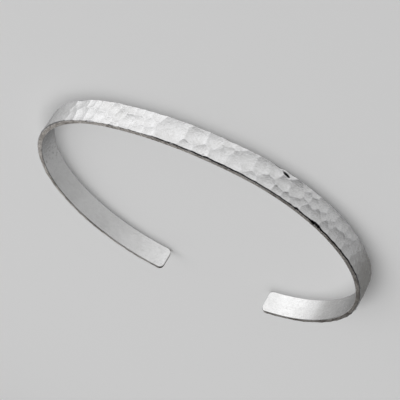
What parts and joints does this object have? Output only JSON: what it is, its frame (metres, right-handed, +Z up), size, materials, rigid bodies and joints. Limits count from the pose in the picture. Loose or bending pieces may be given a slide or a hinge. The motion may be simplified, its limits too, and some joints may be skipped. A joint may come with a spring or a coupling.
{
  "type": "open cuff bangle",
  "caption": "Narrow open cuff bangle of hammered silver: a flat strip bent into an oval, with rounded ends and a gap to slip it over the wrist.",
  "frame": {"origin": "centre of the bounding box's base, on the surface that the lower rim rests on", "axes": "+X across the wrist from arm to arm, +Y from the middle of the hammered back towards the gap between the ends, +Z up across the strip's width"},
  "size_m": [0.062, 0.0499, 0.0043],
  "materials": {
    "silver": "sterling silver, hammered on the outer face with soft satin dents and crisp ridges, satin-polished inside and along the rims"
  },
  "bodies": {
    "root": {"cuff": "silver"}
  },
  "joints": []
}
